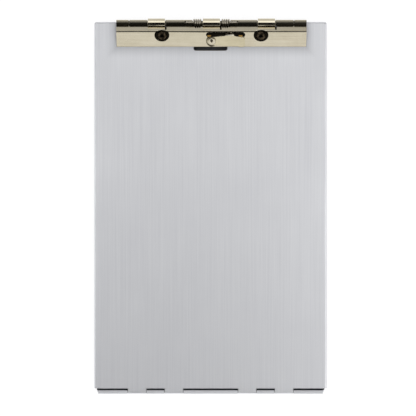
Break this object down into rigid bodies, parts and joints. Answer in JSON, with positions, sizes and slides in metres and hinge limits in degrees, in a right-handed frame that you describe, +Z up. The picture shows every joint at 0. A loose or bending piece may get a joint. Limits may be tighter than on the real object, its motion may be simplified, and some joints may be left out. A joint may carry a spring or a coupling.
{
  "type": "storage clipboard box",
  "caption": "Aluminium storage clipboard: shallow form tray, writing plate hinged at the bottom edge, and a sprung steel clip with a hold-open latch at the top",
  "frame": {"origin": "under the middle of the whole part, on the tray's underside", "axes": "+X to the right and +Y up the writing plate to the clip, as read from above; +Z up from the tray's underside through the writing plate"},
  "size_m": [0.16, 0.2574, 0.0224],
  "materials": {
    "tray_sheet": "satin",
    "plate_sheet": "fine grained",
    "clip_plating": "bright nickel plated",
    "spring_wire": "drawn wire",
    "rod_steel": "drawn",
    "rivet_steel": "oiled"
  },
  "bodies": {
    "tray": {"storage_tray": "tray_sheet", "lid_hinge_rod": "rod_steel"},
    "lid": {"writing_plate": "plate_sheet", "clip_base": "clip_plating", "clip_hinge_rod": "rod_steel", "clip_spring_left": "spring_wire", "clip_spring_right": "spring_wire", "clip_rivets": "rivet_steel", "rivet_washers": "rivet_steel"},
    "jaw": {"clip_jaw": "clip_plating", "latch_rivet": "clip_plating", "latch_washer": "rivet_steel"},
    "latch": {"latch_lever": "clip_plating"}
  },
  "joints": [
    {"name": "lid_hinge", "type": "hinge", "parent": "tray", "child": "lid", "pos_m": [0, -0.1271, 0.01265], "axis": [1, 0, 0], "range_deg": [0, 180]},
    {"name": "clip_hinge", "type": "hinge", "parent": "lid", "child": "jaw", "pos_m": [0.0006, 0.1257, 0.01876], "axis": [-1, 0, 0], "range_deg": [0, 50], "stiffness_Nm_per_rad": 0.4, "springref_deg": -34.38, "deforming": ["clip_spring_left", "clip_spring_right"]},
    {"name": "latch_pivot", "type": "hinge", "parent": "jaw", "child": "latch", "pos_m": [0.0007, 0.11367, 0.01814], "axis": [0, -0.6046, 0.7965], "range_deg": [-4, 4]}
  ]
}
